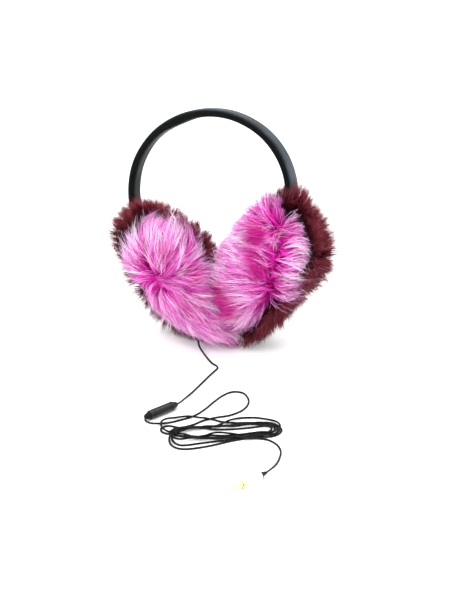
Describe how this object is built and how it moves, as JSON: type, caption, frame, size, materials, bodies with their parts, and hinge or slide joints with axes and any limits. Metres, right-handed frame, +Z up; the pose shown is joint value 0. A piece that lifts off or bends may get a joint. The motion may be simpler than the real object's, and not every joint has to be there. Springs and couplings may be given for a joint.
{
  "type": "fur earmuff headphones with a padded headband and a cord with an inline remote",
  "caption": "Over-ear headphones dressed as fluffy earmuffs: an arched padded headband, two large fur muffs, and a thin cord with an inline remote and a plug.",
  "frame": {"origin": "centre of the bottom of the headset's bounding box, on the plane it stands on, measured without the cord", "axes": "+Z up towards the top of the headband's arch; -Y the side the muffs' pink faces turn to, where the cord lies; +X towards the muff that the cord does not leave"},
  "size_m": [0.2121, 0.2924, 0.2018],
  "materials": {
    "leatherette": "fine grained black leatherette with a soft sheen",
    "fur_pink": "long pink pile, magenta at the roots and nearly white at the tips",
    "fur_maroon": "short dense maroon pile",
    "cord_rubber": "smooth satin charcoal",
    "remote_plastic": "satin charcoal",
    "pale_plastic": "glossy, nearly white",
    "plug_gold": "polished pale gold plating"
  },
  "bodies": {
    "root": {"headband": "leatherette", "left_back_fur": "fur_maroon", "left_face_fur": "fur_pink", "right_back_fur": "fur_maroon", "right_face_fur": "fur_pink", "cord_sleeve": "cord_rubber", "cord_lead": "cord_rubber", "cord_run": "cord_rubber", "cord_loop": "cord_rubber", "cord_tail": "cord_rubber", "cord_hank": "cord_rubber", "remote_relief_in": "cord_rubber", "remote_body": "remote_plastic", "remote_relief_out": "cord_rubber", "plug_relief": "cord_rubber", "plug_barrel": "pale_plastic", "plug_collar": "plug_gold", "plug_pin": "plug_gold"}
  },
  "joints": []
}
